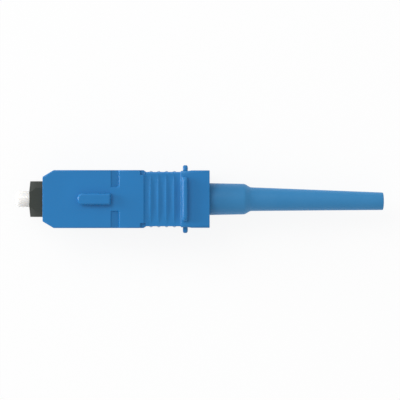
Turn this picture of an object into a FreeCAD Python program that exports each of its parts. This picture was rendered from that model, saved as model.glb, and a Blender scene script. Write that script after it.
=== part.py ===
"""Field-fit SC fibre connector: a push-pull plug with a factory-polished stub and a cam-locked splice.

Millimetres. +X runs along the optical axis from the ferrule tip to the boot, +Z is the key side,
and the origin is the centre of the ferrule's end face.
"""
import FreeCAD, Part
import math
import os

# ---- Driving dimensions: every size that can be set by itself is written once, here ----

# Ferrule and fibre
FERRULE_RADIUS = 1.2495
FERRULE_LENGTH = 10.5
FERRULE_PROUD = 7.0
FERRULE_CHAMFER = 0.45
FERRULE_RIM = 0.3695
FERRULE_DOME_RADIUS = 20.0
FERRULE_GROOVE_LENGTH = 0.62
FERRULE_GROOVE_DEPTH = 0.17
FUNNEL_LENGTH = 1.2
FUNNEL_RADIUS = 0.4
FIBRE_RADIUS = 0.0625

# Splice: two halves that clamp the fibre ends when the cam turns
SPLICE_RADIUS = 0.93
SPLICE_LENGTH = 9.5
SPLICE_OPEN_GAP = 0.04
KEEL_LENGTH = 8.5
KEEL_WIDTH = 0.6
SPLICE_FUNNEL_LENGTH = 0.6
SPLICE_FUNNEL_RADIUS = 0.3

# Ferrule holder
HOLDER_FLANGE_LENGTH = 1.4
HOLDER_NECK_WALL = 0.3505
HOLDER_NECK_FLOOR = 1.1
HOLDER_BARREL_WALL = 0.35
HOLDER_PASSAGE_RADIUS = 0.3
HOLDER_SETBACK = 0.2
HOLDER_EDGE = 0.12
ROTATION_KEY_WIDTH = 0.7
ROTATION_KEY_DEPTH = 0.5
CARRIER_TRAVEL = 1.0

# Cam sleeve
CAM_TRACK_DEPTH = 0.14
CAM_TRACK_OFFSET = 0.10
CAM_TRACK_WALL = 0.27
CAM_LEAD = 1.3
CAM_TRACK_OVERRUN = 0.3
CAM_TURN = 90.0
CAM_SLOT_SETBACK = 0.4
CAM_SLOT_LENGTH = 0.7
CAM_TAIL_LENGTH = 1.8
CAM_STOP_ANGLE = 180.0
CAM_STOP_HALF_ANGLE = 12.0
CAM_STOP_SLACK_ANGLE = 3.0
CAM_STOP_INSET = 0.15
CAM_FLAT_LENGTH = 1.3
CAM_FLAT_DEPTH = 0.30

# Spring
SPRING_WIRE = 0.36
SPRING_WIRE_SIDES = 5
SPRING_CLOSED_PITCH = 0.38
SPRING_ACTIVE_TURNS = 4

# Plug frame: the inner housing that stays with the fibre
FRAME_SETBACK = 2.38
FRAME_LENGTH = 20.12
FRAME_WALL = 0.45
FRAME_SIDE_WALL = 0.44
FRAME_REAR_STEP = 0.51
FRAME_BEVEL = 0.92
FRAME_NOSE_BEVEL = 1.5
FRAME_NOSE_START = 0.32
FRAME_NOSE_LENGTH = 0.8
FRAME_EDGE = 0.15
SLEEVE_SPACE = 1.1005
SEAT_WALL = 0.9
SEAT_SPACE = 0.6505
SHOULDER_HEIGHT = 0.585
SHOULDER_SPAN = 2.3
SHOULDER_SETBACK = 2.62
SHOULDER_RAMP_LENGTH = 2.0
SHOULDER_TOP_LENGTH = 1.8
TONGUE_SETBACK = 0.82
TONGUE_GAP = 0.3
LUG_SETBACK = 1.3
LUG_LENGTH = 1.5
LUG_FLAT = 0.5
LUG_SPAN = 1.7
LUG_HEIGHT = 0.8

# Spring retainer
RETAINER_WALL = 0.27
RETAINER_INSERT_LENGTH = 6.5
RETAINER_GUIDE_LENGTH = 3.0
RETAINER_COLLAR_LENGTH = 1.6
RETAINER_COLLAR_INSET = 0.1
RETAINER_COLLAR_BEVEL = 0.9
RETAINER_BARREL_WALL = 0.25
RETAINER_BARREL_LENGTH = 5.5
RETAINER_SLIT = 0.5
RETAINER_SLIT_LENGTH = 4.0
SNAP_SETBACK = 2.3
SNAP_LENGTH = 1.4
SNAP_SPAN = 1.6
SNAP_INSET = 0.15
BOOT_GROOVE_SETBACK = 3.1
BOOT_GROOVE_LENGTH = 0.8
BOOT_GROOVE_DEPTH = 0.15

# Grip: the outer housing that fingers hold and that carries the key
GRIP_SETBACK = 2.14
GRIP_TRAVEL = 1.2
GRIP_BLOCK_LENGTH = 15.94
RIB_BED_LENGTH = 5.48
TAIL_BLOCK_LENGTH = 4.49
GRIP_SIDE_WALL = 0.795
GRIP_TOP_WALL = 0.815
GRIP_NOSE_TAPER = 1.03
GRIP_NOSE_LENGTH = 1.72
GRIP_CORNER = 0.2

RIB_COUNT = 4
RIB_PITCH = 1.217
RIB_BASE = 0.80
RIB_CREST = 0.16
RIB_RISE = 0.25
RIB_SIDE_RISE = 0.20
RIB_FIRST = 0.79
RIB_RECESS = 0.27
RIB_END_MARGIN = 0.45

TAIL_SETBACK = 0.03
TAIL_NECK = 0.085
TAIL_NECK_LENGTH = 1.11
TAIL_SLOPE_LENGTH = 0.63
TAIL_CORNER = 0.4

FLANGE_THICKNESS = 0.75
FLANGE_OFFSET = 0.32
FLANGE_REACH = 0.92
FLANGE_BEVEL = 0.22
FLANGE_TOP_MARGIN = 0.93
FLANGE_SIDE_MARGIN = 0.965

KEY_LENGTH = 5.14
KEY_WIDTH = 1.74
KEY_HEIGHT = 0.90
KEY_START = 5.47
KEY_NOSE_RADIUS = 0.78
KEY_EDGE = 0.2

POCKET_START = 10.62
POCKET_LENGTH = 1.32
POCKET_REACH = 2.7
POCKET_DEPTH = 0.45
POCKET_SLOPE = 0.18
POCKET_CORNER = 0.3

NOTCH_LENGTH = 0.78
NOTCH_WIDTH = 0.75
NOTCH_DEPTH = 0.5

# Hook channels: where an adapter's two latch hooks run between grip and plug frame
HOOK_SPACE = 0.91
HOOK_WIDTH = 3.8
HOOK_CHANNEL_LENGTH = 7.68
MOUTH_LENGTH = 1.08
RAMP_HEIGHT = 0.61
RAMP_SETBACK = 1.68
RAMP_SLOPE_LENGTH = 0.5
RAMP_TOP_LENGTH = 2.0
RAMP_RELIEF_LENGTH = 0.7

# Lead-in tube and crimp tube
LEAD_IN_LENGTH = 7.4
LEAD_IN_BORE_RADIUS = 0.5
LEAD_IN_WALL = 0.25
LEAD_IN_THROAT_RADIUS = 0.15
LEAD_IN_THROAT_LENGTH = 0.6
LEAD_IN_CONE_LENGTH = 0.8
CRIMP_SETBACK = 1.6
CRIMP_LENGTH = 4.2
CRIMP_WALL = 0.23

# Boot
BOOT_SETBACK = 0.3
BOOT_FRONT_WALL = 0.42
BOOT_REAR_WALL = 0.40
BOOT_SHOULDER_LENGTH = 1.26
BOOT_TAIL_LENGTH = 20.67
BOOT_TAIL_WALL = 0.61
BOOT_TIP_WALL = 0.83
BOOT_SHOULDER_SETBACK = 0.42
BOOT_EASE = 0.3
BOOT_EASE_DROP = 0.15
BOOT_CRIMP_SPACE = 0.8
BOOT_CONE_LENGTH = 1.4
BOOT_ENTRY_RADIUS = 0.55
BOOT_TIP_EDGE = 0.15

# Fits and clearances; ROOT is how far a raised feature is rooted in the wall that carries it
SLIDE_GAP = 0.08
RUNNING_GAP = 0.04
GUIDE_GAP = 0.08
CAM_PASS_GAP = 0.10
CAM_BOOT_GAP = 0.15
KEEL_GAP = 0.0366
SOCKET_GAP = 0.05
FLANGE_GAP = 0.07
SPRING_NECK_GAP = 0.12
SPRING_BORE_GAP = 0.19
BONDED_GAP = 0.0005
SPLICE_GAP = 0.02
SIDE_GAP = 0.05
END_GAP = 0.05
HOOK_RAMP_GAP = 0.10
CRIMP_BOOT_GAP = 0.25
CAM_FREE_GAP = 0.2
LEAD_IN_GAP = 0.2
ROOT = 0.30

# ---- Radii and spans worked out from the driving dimensions, from the fibre outwards ----

AXIS_START = FreeCAD.Vector(0, 0, 0)
AXIS = FreeCAD.Vector(1, 0, 0)
ACROSS = FreeCAD.Vector(0, 1, 0)
UP = FreeCAD.Vector(0, 0, 1)

HOLDER_BORE_RADIUS = SPLICE_RADIUS + SPLICE_GAP
HOLDER_BARREL_RADIUS = HOLDER_BORE_RADIUS + HOLDER_BARREL_WALL
HOLDER_NECK_RADIUS = max(FERRULE_RADIUS + HOLDER_NECK_WALL, HOLDER_BARREL_RADIUS)
CAM_BORE_RADIUS = HOLDER_BARREL_RADIUS + RUNNING_GAP
CAM_TRACK_RADIUS = CAM_BORE_RADIUS + CAM_TRACK_DEPTH
CAM_RADIUS = CAM_TRACK_RADIUS + CAM_TRACK_OFFSET + CAM_TRACK_WALL
KEEL_RADIUS = math.sqrt(CAM_TRACK_RADIUS ** 2 - CAM_TRACK_OFFSET ** 2) - KEEL_GAP
SPRING_MEAN_RADIUS = HOLDER_NECK_RADIUS + SPRING_NECK_GAP + SPRING_WIRE / 2
RETAINER_BORE_RADIUS = CAM_RADIUS + CAM_PASS_GAP
FRAME_BORE_RADIUS = max(RETAINER_BORE_RADIUS + RETAINER_WALL + SOCKET_GAP,
                        SPRING_MEAN_RADIUS + SPRING_WIRE / 2 + SPRING_BORE_GAP)
RETAINER_RADIUS = FRAME_BORE_RADIUS - SOCKET_GAP
RETAINER_BARREL_RADIUS = RETAINER_BORE_RADIUS + RETAINER_BARREL_WALL
HOLDER_FLANGE_RADIUS = FRAME_BORE_RADIUS - FLANGE_GAP
SLEEVE_CAVITY_RADIUS = FERRULE_RADIUS + SLEEVE_SPACE
SEAT_HOLE_RADIUS = FERRULE_RADIUS + SEAT_SPACE

FRAME_HALF_WIDTH = max(SLEEVE_CAVITY_RADIUS, FRAME_BORE_RADIUS) + FRAME_SIDE_WALL
FRAME_HALF_HEIGHT = max(SLEEVE_CAVITY_RADIUS, FRAME_BORE_RADIUS) + FRAME_WALL
FRAME_REAR_HALF_WIDTH = FRAME_HALF_WIDTH + FRAME_REAR_STEP
LUG_REACH = FRAME_REAR_HALF_WIDTH + LUG_HEIGHT
SNAP_HEIGHT = FRAME_HALF_HEIGHT - SNAP_INSET

HOOK_DEPTH = FRAME_HALF_WIDTH + HOOK_SPACE
HOOK_LAND = SHOULDER_SPAN / 2 + HOOK_RAMP_GAP
GRIP_HALF_WIDTH = HOOK_DEPTH + GRIP_SIDE_WALL
GRIP_HALF_HEIGHT = FRAME_HALF_HEIGHT + SLIDE_GAP + GRIP_TOP_WALL
RIB_HALF_WIDTH = GRIP_HALF_WIDTH - RIB_RECESS
RIB_HALF_HEIGHT = GRIP_HALF_HEIGHT - RIB_RECESS
TAIL_HALF_WIDTH = GRIP_HALF_WIDTH - TAIL_SETBACK
TAIL_HALF_HEIGHT = GRIP_HALF_HEIGHT - TAIL_SETBACK

LEAD_IN_RADIUS = LEAD_IN_BORE_RADIUS + LEAD_IN_WALL
CRIMP_RADIUS = LEAD_IN_RADIUS + SPLICE_GAP + CRIMP_WALL
BOOT_CAM_BORE_RADIUS = CAM_RADIUS + CAM_BOOT_GAP
BOOT_CRIMP_BORE_RADIUS = CRIMP_RADIUS + CRIMP_BOOT_GAP
BOOT_FRONT_RADIUS = RETAINER_BARREL_RADIUS + BOOT_FRONT_WALL
BOOT_REAR_RADIUS = BOOT_CAM_BORE_RADIUS + BOOT_REAR_WALL
TAIL_START_RADIUS = BOOT_CRIMP_BORE_RADIUS + BOOT_TAIL_WALL
TAIL_TIP_RADIUS = BOOT_ENTRY_RADIUS + BOOT_TIP_WALL

# ---- Stations along the axis, worked out in the order in which the pieces stack up ----

FRAME_FRONT = FRAME_SETBACK
FRAME_END = FRAME_FRONT + FRAME_LENGTH
SEAT_START = FERRULE_PROUD - SEAT_WALL
FLANGE_REAR = FERRULE_PROUD + HOLDER_FLANGE_LENGTH
NECK_END = FERRULE_LENGTH + HOLDER_NECK_FLOOR
GROOVE_END = FERRULE_PROUD + FERRULE_GROOVE_LENGTH
SHOULDER_START = FRAME_FRONT + SHOULDER_SETBACK
SHOULDER_TOP_START = SHOULDER_START + SHOULDER_RAMP_LENGTH
SHOULDER_END = SHOULDER_TOP_START + SHOULDER_TOP_LENGTH

SPRING_END = FRAME_END - RETAINER_INSERT_LENGTH
GUIDE_END = SPRING_END + RETAINER_GUIDE_LENGTH
SNAP_START = SPRING_END + SNAP_SETBACK
SNAP_END = SNAP_START + SNAP_LENGTH
BARREL_START = FRAME_END + RETAINER_COLLAR_LENGTH
BARREL_END = BARREL_START + RETAINER_BARREL_LENGTH
BOOT_GROOVE_START = BARREL_START + BOOT_GROOVE_SETBACK
BOOT_GROOVE_END = BOOT_GROOVE_START + BOOT_GROOVE_LENGTH

CAM_START = GUIDE_END + CARRIER_TRAVEL + CAM_FREE_GAP
SPLICE_START = CAM_START + CAM_LEAD
SPLICE_MIDDLE = SPLICE_START + SPLICE_LENGTH / 2
SPLICE_END = SPLICE_START + SPLICE_LENGTH
KEEL_START = SPLICE_MIDDLE - KEEL_LENGTH / 2
CAM_TRACK_END = SPLICE_END + CAM_TRACK_OVERRUN
CAM_SLOT_START = CAM_TRACK_END + CAM_SLOT_SETBACK
CAM_SLOT_END = CAM_SLOT_START + CAM_SLOT_LENGTH
CAM_END = CAM_SLOT_END + CAM_TAIL_LENGTH
HOLDER_END = CAM_END - HOLDER_SETBACK
LEAD_IN_START = SPLICE_END + LEAD_IN_GAP
LEAD_IN_END = LEAD_IN_START + LEAD_IN_LENGTH
CRIMP_START = HOLDER_END + CRIMP_SETBACK
CRIMP_END = CRIMP_START + CRIMP_LENGTH

BOOT_FRONT = BARREL_START + BOOT_SETBACK
BOOT_CAM_BORE_END = CAM_END + CARRIER_TRAVEL + CAM_BOOT_GAP
BOOT_SHOULDER_START = BOOT_CAM_BORE_END + BOOT_SHOULDER_SETBACK
BOOT_TAIL_START = BOOT_SHOULDER_START + BOOT_SHOULDER_LENGTH
BOOT_TIP = BOOT_TAIL_START + BOOT_TAIL_LENGTH
BOOT_CRIMP_BORE_END = CRIMP_END + CARRIER_TRAVEL + BOOT_CRIMP_SPACE
BOOT_ENTRY_START = BOOT_CRIMP_BORE_END + BOOT_CONE_LENGTH

GRIP_FRONT = FRAME_FRONT + GRIP_SETBACK
GRIP_BLOCK_END = GRIP_FRONT + GRIP_BLOCK_LENGTH
TAIL_BLOCK_START = GRIP_BLOCK_END + RIB_BED_LENGTH
GRIP_REAR = TAIL_BLOCK_START + TAIL_BLOCK_LENGTH
FLANGE_START = TAIL_BLOCK_START + FLANGE_OFFSET
FLANGE_END = FLANGE_START + FLANGE_THICKNESS
CHANNEL_END = GRIP_FRONT + HOOK_CHANNEL_LENGTH
FRAME_STEP = CHANNEL_END + GRIP_TRAVEL + SLIDE_GAP
TONGUE_START = FRAME_STEP + TONGUE_SETBACK
LUG_START = TONGUE_START + LUG_SETBACK
LUG_END = LUG_START + LUG_LENGTH
RAMP_START = GRIP_FRONT + RAMP_SETBACK
RAMP_TOP_START = RAMP_START + RAMP_SLOPE_LENGTH
RAMP_TOP_END = RAMP_TOP_START + RAMP_TOP_LENGTH
RAMP_END = RAMP_TOP_END + RAMP_RELIEF_LENGTH


# ---- Shape helpers ----

def point(x, y, z):
    """Point from its three coordinates."""
    return FreeCAD.Vector(x, y, z)


def box(x, y, z):
    """Block between three pairs of limits."""
    return Part.makeBox(x[1] - x[0], y[1] - y[0], z[1] - z[0], point(x[0], y[0], z[0]))


def rod(start, end, radius):
    """Cylinder on the optical axis."""
    return Part.makeCylinder(radius, end - start, point(start, 0, 0), AXIS)


def face_from(points):
    """Flat face inside a closed outline."""
    return Part.Face(Part.makePolygon(points + points[:1]))


def turned(outline):
    """Body of revolution about the optical axis, from (x, radius) points."""
    return face_from([point(x, 0, r) for x, r in outline]).revolve(AXIS_START, AXIS, 360)


def plan_prism(outline, low, high):
    """Prism from a plan outline of (x, y) points, between two heights."""
    return face_from([point(x, y, low) for x, y in outline]).extrude(UP * (high - low))


def side_prism(outline, half_span):
    """Prism from a side outline of (x, z) points, centred across the connector."""
    face = face_from([point(x, -half_span, z) for x, z in outline])
    return face.extrude(ACROSS * (2 * half_span))


def section_prism(outline, start, end):
    """Prism from a cross-section of (y, z) points, between two stations."""
    return face_from([point(start, y, z) for y, z in outline]).extrude(AXIS * (end - start))


def fused(shapes):
    """One solid from shapes that touch or overlap."""
    return shapes[0].multiFuse(shapes[1:]).removeSplitter()


def across_pair(shape):
    """A shape and its mirror image on the other side, in +Y and -Y."""
    return [shape, shape.mirror(AXIS_START, ACROSS)]


def height_pair(shape):
    """A shape and its mirror image above and below, in +Z and -Z."""
    return [shape, shape.mirror(AXIS_START, UP)]


def four_corners(shape):
    """A shape and its mirror images in all four quadrants."""
    return [copy for half in across_pair(shape) for copy in height_pair(half)]


def turned_to_side(shape):
    """A feature made on the top face, moved to the +Y face, or from there to the bottom."""
    return shape.rotated(AXIS_START, AXIS, -90)


def lies_at(edge, axis, value):
    """Whether every end of an edge has this coordinate."""
    return all(abs(getattr(vertex.Point, axis) - value) < 1e-6 for vertex in edge.Vertexes)


def is_level(edge):
    """Whether the ends of an edge are at one height."""
    return lies_at(edge, "z", edge.Vertexes[0].Point.z)


def long_corner_edges(shape):
    """Edges that run along the body at its four corners, tapered stretches included."""
    return [edge for edge in shape.Edges
            if is_level(edge) and not lies_at(edge, "x", edge.Vertexes[0].Point.x)]


# ---- Grip ----

def mirrored_plan(right, low, high):
    """Prism from the +Y half of a plan outline, completed by its mirror image."""
    return plan_prism(right + [(x, -y) for x, y in reversed(right)], low, high)


def grip_block():
    """Front block with its tapered nose and the small bevel down to the rib bed."""
    bevel_start = GRIP_BLOCK_END - RIB_RECESS
    outline = [(GRIP_FRONT, GRIP_HALF_WIDTH - GRIP_NOSE_TAPER),
               (GRIP_FRONT + GRIP_NOSE_LENGTH, GRIP_HALF_WIDTH),
               (bevel_start, GRIP_HALF_WIDTH),
               (GRIP_BLOCK_END, RIB_HALF_WIDTH)]
    block = mirrored_plan(outline, -GRIP_HALF_HEIGHT, GRIP_HALF_HEIGHT)
    block = block.makeFillet(GRIP_CORNER, long_corner_edges(block))
    wedge = side_prism([(bevel_start, GRIP_HALF_HEIGHT), (GRIP_BLOCK_END, GRIP_HALF_HEIGHT),
                        (GRIP_BLOCK_END, RIB_HALF_HEIGHT)], GRIP_HALF_WIDTH)
    for cut in height_pair(wedge):
        block = block.cut(cut)
    return block


def rib_bed():
    """Recessed stretch that carries the ribs."""
    bed = box((GRIP_BLOCK_END, TAIL_BLOCK_START), (-RIB_HALF_WIDTH, RIB_HALF_WIDTH),
              (-RIB_HALF_HEIGHT, RIB_HALF_HEIGHT))
    return bed.makeFillet(GRIP_CORNER, long_corner_edges(bed))


def tail_block():
    """Plain block behind the finger flange, slightly waisted where the flange stands."""
    neck = TAIL_HALF_WIDTH - TAIL_NECK
    neck_end = TAIL_BLOCK_START + TAIL_NECK_LENGTH
    outline = [(TAIL_BLOCK_START, neck),
               (neck_end, neck),
               (neck_end + TAIL_SLOPE_LENGTH, TAIL_HALF_WIDTH),
               (GRIP_REAR, TAIL_HALF_WIDTH)]
    block = mirrored_plan(outline, -TAIL_HALF_HEIGHT, TAIL_HALF_HEIGHT)
    return block.makeFillet(TAIL_CORNER, long_corner_edges(block))


def arched(profile, surface, rise, chord):
    """Ridge on the top face whose crest is an arc that runs out into the face at both ends.

    profile is a face in the X-Z plane at mid width, surface the height of the face, and chord the
    length over which the crest stands above it.
    """
    radius = chord ** 2 / (8 * rise) + rise / 2
    centre = point(0, 0, surface + rise - radius)
    half_angle = math.degrees(math.asin(chord / 2 / radius))
    start = profile.rotated(centre, AXIS, -half_angle)
    return start.revolve(centre, AXIS, 2 * half_angle)


def ridge_profile(start, end, crest, surface, rise):
    """Section of a ridge rooted in the wall, with a bevel down to the surface on both sides."""
    middle = (start + end) / 2
    top = surface + rise
    foot = surface - ROOT
    outline = [(start, foot), (start, surface), (middle - crest / 2, top), (middle + crest / 2, top),
               (end, surface), (end, foot)]
    return face_from([point(x, 0, z) for x, z in outline])


def flange_profile(surface):
    """Section of the finger flange: parallel sides with bevelled edges."""
    top = surface + FLANGE_REACH
    foot = surface - ROOT
    outline = [(FLANGE_START, foot), (FLANGE_START, top - FLANGE_BEVEL), (FLANGE_START + FLANGE_BEVEL, top),
               (FLANGE_END - FLANGE_BEVEL, top), (FLANGE_END, top - FLANGE_BEVEL), (FLANGE_END, foot)]
    return face_from([point(x, 0, z) for x, z in outline])


def ribs():
    """Finger ribs on all four faces."""
    top_chord = 2 * RIB_HALF_WIDTH - RIB_END_MARGIN
    side_chord = 2 * RIB_HALF_HEIGHT - RIB_END_MARGIN
    made = []
    for index in range(RIB_COUNT):
        middle = GRIP_BLOCK_END + RIB_FIRST + index * RIB_PITCH
        start = middle - RIB_BASE / 2
        end = middle + RIB_BASE / 2
        top = ridge_profile(start, end, RIB_CREST, RIB_HALF_HEIGHT, RIB_RISE)
        side = ridge_profile(start, end, RIB_CREST, RIB_HALF_WIDTH, RIB_SIDE_RISE)
        made += height_pair(arched(top, RIB_HALF_HEIGHT, RIB_RISE, top_chord))
        made += across_pair(turned_to_side(arched(side, RIB_HALF_WIDTH, RIB_SIDE_RISE, side_chord)))
    return made


def finger_flange():
    """The thin pull flange: one arched tab on each of the four faces."""
    neck = TAIL_HALF_WIDTH - TAIL_NECK
    top_chord = 2 * (neck - FLANGE_TOP_MARGIN)
    side_chord = 2 * (TAIL_HALF_HEIGHT - FLANGE_SIDE_MARGIN)
    top = arched(flange_profile(TAIL_HALF_HEIGHT), TAIL_HALF_HEIGHT, FLANGE_REACH, top_chord)
    side = arched(flange_profile(neck), neck, FLANGE_REACH, side_chord)
    return height_pair(top) + across_pair(turned_to_side(side))


def key():
    """Polarity key on the top face, round at the front and square behind."""
    start = GRIP_FRONT + KEY_START
    top = GRIP_HALF_HEIGHT + KEY_HEIGHT
    bar = box((start, start + KEY_LENGTH), (-KEY_WIDTH / 2, KEY_WIDTH / 2), (GRIP_HALF_HEIGHT - ROOT, top))
    nose = [edge for edge in bar.Edges if lies_at(edge, "x", start) and not is_level(edge)]
    bar = bar.makeFillet(KEY_NOSE_RADIUS, nose)
    return bar.makeChamfer(KEY_EDGE, [edge for edge in bar.Edges if lies_at(edge, "z", top)])


def grip_cavity():
    """Space for the plug frame, with the two hook channels and their open mouths."""
    half_frame = FRAME_HALF_WIDTH + SLIDE_GAP
    half_rear = FRAME_REAR_HALF_WIDTH + SLIDE_GAP
    half_height = FRAME_HALF_HEIGHT + SLIDE_GAP
    half_hook = HOOK_WIDTH / 2
    height = (-half_height, half_height)
    front = box((GRIP_FRONT, CHANNEL_END), (-half_frame, half_frame), height)
    rear = box((CHANNEL_END, GRIP_REAR), (-half_rear, half_rear), height)
    channel = box((GRIP_FRONT, CHANNEL_END), (-HOOK_DEPTH, HOOK_DEPTH), (-half_hook, half_hook))
    mouth = box((GRIP_FRONT, GRIP_FRONT + MOUTH_LENGTH), (-GRIP_HALF_WIDTH, GRIP_HALF_WIDTH),
                (-half_hook, half_hook))
    return [front, rear, channel, mouth]


def release_ramps():
    """Ramps inside each channel that lift an adapter's hooks as the grip is pulled back."""
    foot = FRAME_HALF_WIDTH + SLIDE_GAP
    crest = FRAME_HALF_WIDTH + RAMP_HEIGHT
    outline = [(RAMP_START, foot), (RAMP_TOP_START, crest), (RAMP_TOP_END, crest), (RAMP_END, foot)]
    return four_corners(plan_prism(outline, HOOK_LAND, HOOK_WIDTH / 2))


def lug_windows():
    """Side windows in which the plug frame's lugs travel."""
    half = LUG_SPAN / 2 + SLIDE_GAP
    return box((LUG_START - GRIP_TRAVEL - END_GAP, LUG_END + END_GAP),
               (-GRIP_HALF_WIDTH, GRIP_HALF_WIDTH), (-half, half))


def pocket_outline(start, rear, near, far, height):
    """Pocket outline at one height: square to the body, with a rounded inner rear corner."""
    bend = POCKET_CORNER * (1 - math.sqrt(0.5))
    corner_start = point(rear, near + POCKET_CORNER, height)
    corner_end = point(rear - POCKET_CORNER, near, height)
    corner = Part.Arc(corner_start, point(rear - bend, near + bend, height), corner_end)
    rest = Part.makePolygon([corner_end, point(start, near, height), point(start, far, height),
                             point(rear, far, height), corner_start])
    return Part.Wire([corner.toShape()] + rest.Edges)


def clip_pocket():
    """Shallow pocket with sloping walls, open to the side, where a duplex clip takes hold."""
    start = GRIP_FRONT + POCKET_START
    end = start + POCKET_LENGTH
    inner = GRIP_HALF_WIDTH - POCKET_REACH
    outer = GRIP_HALF_WIDTH + ROOT
    floor_height = GRIP_HALF_HEIGHT - POCKET_DEPTH
    floor = pocket_outline(start, end - POCKET_SLOPE, inner + POCKET_SLOPE, outer, floor_height)
    rim = pocket_outline(start, end, inner, outer, GRIP_HALF_HEIGHT)
    return Part.makeLoft([floor, rim], True, True)


def corner_notch():
    """Small notch in the long corner just ahead of the rib bed."""
    return box((GRIP_BLOCK_END - NOTCH_LENGTH, GRIP_BLOCK_END),
               (GRIP_HALF_WIDTH - NOTCH_WIDTH, GRIP_HALF_WIDTH),
               (GRIP_HALF_HEIGHT - NOTCH_DEPTH, GRIP_HALF_HEIGHT))


def grip():
    """The moulded outer housing."""
    body = fused([grip_block(), rib_bed(), tail_block(), key()] + ribs() + finger_flange())
    for space in grip_cavity():
        body = body.cut(space)
    body = body.cut(lug_windows())
    for tool in four_corners(clip_pocket()) + four_corners(corner_notch()):
        body = body.cut(tool)
    return fused([body] + release_ramps())


# ---- Plug frame ----

def bevelled_section(half_width, half_height, bevel):
    """Cross-section with bevels on the two key-side edges and small breaks on the other two."""
    right = [(half_width - FRAME_EDGE, -half_height), (half_width, -half_height + FRAME_EDGE),
             (half_width, half_height - bevel), (half_width - bevel, half_height)]
    return right + [(-y, z) for y, z in reversed(right)]


def nose_corner(x, bevel):
    """Triangle that a bevel of this size takes from the frame's key-side corner."""
    corner = point(x, FRAME_HALF_WIDTH, FRAME_HALF_HEIGHT)
    return Part.makePolygon([corner, corner - ACROSS * bevel, corner - UP * bevel, corner])


def nose_wedge():
    """Extra corner material to take off a key-side edge, from the nose back to the plain bevel."""
    taper_start = FRAME_FRONT + FRAME_NOSE_START
    stations = [nose_corner(FRAME_FRONT, FRAME_NOSE_BEVEL),
                nose_corner(taper_start, FRAME_NOSE_BEVEL),
                nose_corner(taper_start + FRAME_NOSE_LENGTH, FRAME_BEVEL)]
    return Part.makeLoft(stations, True, True)


def latch_shoulder():
    """Ramp and catch behind which an adapter's hook closes."""
    root = FRAME_HALF_WIDTH - ROOT / 2
    crest = FRAME_HALF_WIDTH + SHOULDER_HEIGHT
    outline = [(SHOULDER_START, root), (SHOULDER_START, FRAME_HALF_WIDTH), (SHOULDER_TOP_START, crest),
               (SHOULDER_END, crest), (SHOULDER_END, root)]
    return plan_prism(outline, -SHOULDER_SPAN / 2, SHOULDER_SPAN / 2)


def grip_lug():
    """Ramped lug that snaps into the grip's window and drives the grip forward."""
    root = FRAME_REAR_HALF_WIDTH - ROOT
    outline = [(LUG_START, root), (LUG_START, FRAME_REAR_HALF_WIDTH), (LUG_END - LUG_FLAT, LUG_REACH),
               (LUG_END, LUG_REACH), (LUG_END, root)]
    return plan_prism(outline, -LUG_SPAN / 2, LUG_SPAN / 2)


def tongue_slots():
    """Slots that free the wall under each lug as a spring tongue."""
    inner = LUG_SPAN / 2 + SLIDE_GAP
    slot = box((TONGUE_START, FRAME_END), (0, FRAME_REAR_HALF_WIDTH), (inner, inner + TONGUE_GAP))
    return four_corners(slot)


def snap_window():
    """Window for the spring retainer's snap wedge."""
    half = SNAP_SPAN / 2 + SIDE_GAP
    return box((SNAP_START - END_GAP, SNAP_END + END_GAP), (-half, half), (0, FRAME_HALF_HEIGHT))


def rotation_key():
    """Rib in the bore that stops the ferrule holder from turning."""
    half = ROTATION_KEY_WIDTH / 2
    return box((FERRULE_PROUD, FLANGE_REAR - END_GAP), (-half, half),
               (FRAME_BORE_RADIUS - ROTATION_KEY_DEPTH, FRAME_BORE_RADIUS + FRAME_WALL / 3))


def plug_frame():
    """The inner housing: sleeve cavity, ferrule seat, latch shoulders and spring bore."""
    slim = bevelled_section(FRAME_HALF_WIDTH, FRAME_HALF_HEIGHT, FRAME_BEVEL)
    wide = bevelled_section(FRAME_REAR_HALF_WIDTH, FRAME_HALF_HEIGHT, FRAME_BEVEL)
    front = section_prism(slim, FRAME_FRONT, FRAME_STEP)
    rear = section_prism(wide, FRAME_STEP, FRAME_END)
    body = fused([front, rear] + across_pair(latch_shoulder()) + across_pair(grip_lug()))
    for wedge in across_pair(nose_wedge()):
        body = body.cut(wedge)
    bore = [rod(FRAME_FRONT, SEAT_START, SLEEVE_CAVITY_RADIUS),
            rod(SEAT_START, FERRULE_PROUD, SEAT_HOLE_RADIUS),
            rod(FERRULE_PROUD, FRAME_END, FRAME_BORE_RADIUS)]
    for space in bore + tongue_slots() + height_pair(snap_window()):
        body = body.cut(space)
    return fused([body] + height_pair(rotation_key()))


# ---- Ferrule and fibre ----

def dome_fall(radius):
    """How far the polished dome has fallen back at this radius."""
    return FERRULE_DOME_RADIUS - math.sqrt(FERRULE_DOME_RADIUS ** 2 - radius ** 2)


def ferrule():
    """Zirconia ferrule with a domed, polished end, a retention groove and a rear fibre funnel."""
    bore = FIBRE_RADIUS + BONDED_GAP
    groove = FERRULE_RADIUS - FERRULE_GROOVE_DEPTH
    rim = FERRULE_RADIUS - FERRULE_RIM
    dome_start, dome_middle, dome_end = [point(dome_fall(r), 0, r) for r in (bore, rim / 2, rim)]
    rest = [(FERRULE_CHAMFER, FERRULE_RADIUS), (FERRULE_PROUD, FERRULE_RADIUS), (FERRULE_PROUD, groove),
            (GROOVE_END, groove), (GROOVE_END, FERRULE_RADIUS), (FERRULE_LENGTH, FERRULE_RADIUS),
            (FERRULE_LENGTH, FUNNEL_RADIUS), (FERRULE_LENGTH - FUNNEL_LENGTH, bore)]
    sides = Part.makePolygon([dome_end] + [point(x, 0, r) for x, r in rest] + [dome_start])
    dome = Part.Arc(dome_start, dome_middle, dome_end).toShape()
    return Part.Face(Part.Wire([dome] + sides.Edges)).revolve(AXIS_START, AXIS, 360)


def fibre_stub():
    """Bare glass fibre bonded in the ferrule, reaching to the middle of the splice."""
    return rod(0, SPLICE_MIDDLE - END_GAP, FIBRE_RADIUS)


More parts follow.
